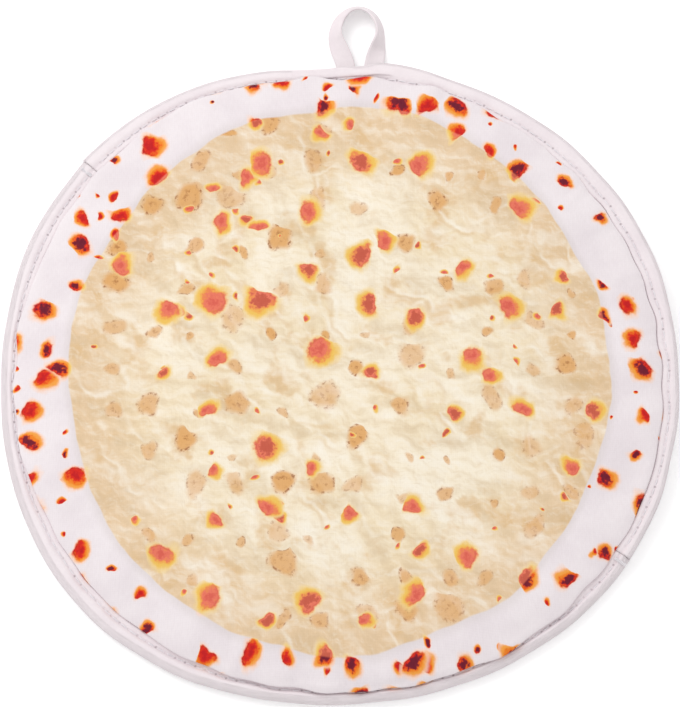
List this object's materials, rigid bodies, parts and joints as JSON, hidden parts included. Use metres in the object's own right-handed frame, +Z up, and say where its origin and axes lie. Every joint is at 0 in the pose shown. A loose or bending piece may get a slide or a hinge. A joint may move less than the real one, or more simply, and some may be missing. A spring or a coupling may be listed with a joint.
{
  "type": "tortilla warmer",
  "caption": "Round quilted cloth pouch with a printed front, a bound edge, a half-moon mouth that opens along a fold, and a hanging loop of tape.",
  "frame": {"origin": "middle of the back panel's flat underside", "axes": "+Z up through the front panel, +Y towards the hanging loop, +X to the right as seen from the front"},
  "size_m": [0.3052, 0.3343, 0.0197],
  "materials": {
    "printed_cloth": "printed plain-weave polyester, cream disc in a white margin",
    "back_cloth": "plain-weave polyester",
    "padding": "needled polyester batting",
    "lining_cloth": "plain-weave cotton",
    "edge_tape": "folded bias tape",
    "thread": "spun sewing thread"
  },
  "bodies": {
    "pouch": {"rear_cover": "back_cloth", "rear_batting": "padding", "rear_lining": "lining_cloth", "front_cover": "printed_cloth", "front_batting": "padding", "front_lining": "lining_cloth", "rim_binding": "edge_tape", "rim_thread_front": "thread", "rim_thread_back": "thread", "pocket_thread": "thread", "mouth_tack_left": "thread", "mouth_tack_right": "thread", "loop_tack": "thread"},
    "flap": {"flap_cover": "printed_cloth", "flap_batting": "padding", "flap_lining": "lining_cloth", "mouth_binding": "edge_tape", "mouth_thread_front": "thread", "mouth_thread_back": "thread"},
    "loop": {"hanging_loop": "edge_tape"}
  },
  "joints": [
    {"name": "flap_hinge", "type": "hinge", "parent": "pouch", "child": "flap", "pos_m": [0.00609, 0.00793, 0.0174], "axis": [0.7934, -0.6088, 0], "range_deg": [0, 110]},
    {"name": "loop_hinge", "type": "hinge", "parent": "pouch", "child": "loop", "pos_m": [0.00804, 0.15339, 0.00365], "axis": [0.9986, -0.0523, 0], "range_deg": [-70, 70]}
  ]
}
